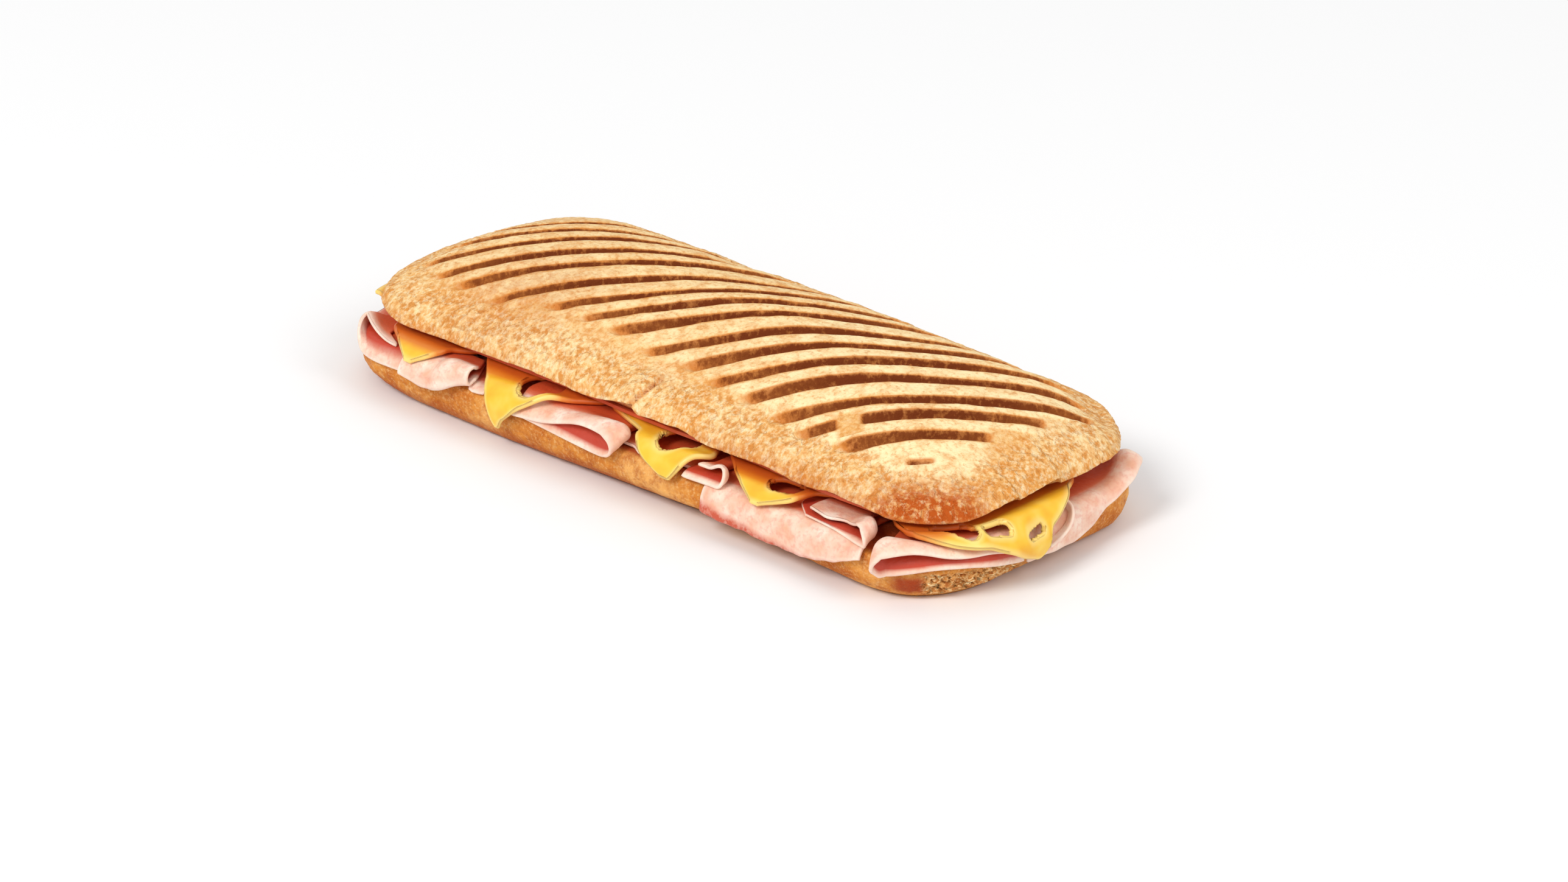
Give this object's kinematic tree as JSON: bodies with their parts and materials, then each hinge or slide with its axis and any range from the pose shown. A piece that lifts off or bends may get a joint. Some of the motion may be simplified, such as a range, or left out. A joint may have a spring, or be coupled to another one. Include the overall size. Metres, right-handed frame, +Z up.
{
  "type": "panini",
  "caption": "Long pressed sandwich: soft loaf with slanting grill marks, folded ham slices and corners of sliced cheese that hang out at the sides.",
  "frame": {"origin": "middle of the loaf's flat underside", "axes": "+X along the loaf towards the end with the overhanging cheese corner, -Y towards the long side that shows the filling, +Z up"},
  "size_m": [0.2535, 0.1143, 0.0413],
  "materials": {
    "crust": null,
    "crust_bottom": null,
    "ham": null,
    "cheese": null
  },
  "bodies": {
    "root": {"bread_top": "crust", "bread_bottom": "crust_bottom", "ham_fold_middle": "ham", "ham_fold_small": "ham", "ham_fold_right": "ham", "ham_hanging": "ham", "ham_flat": "ham", "ham_roll": "ham", "ham_fold_far": "ham", "ham_fold_corner": "ham", "ham_loop": "ham", "ham_near_end": "ham", "ham_far_end": "ham", "ham_upper": "ham", "cheese_left": "cheese", "cheese_long": "cheese", "cheese_middle": "cheese", "cheese_right": "cheese", "cheese_near_end": "cheese", "cheese_far_end": "cheese"}
  },
  "joints": []
}
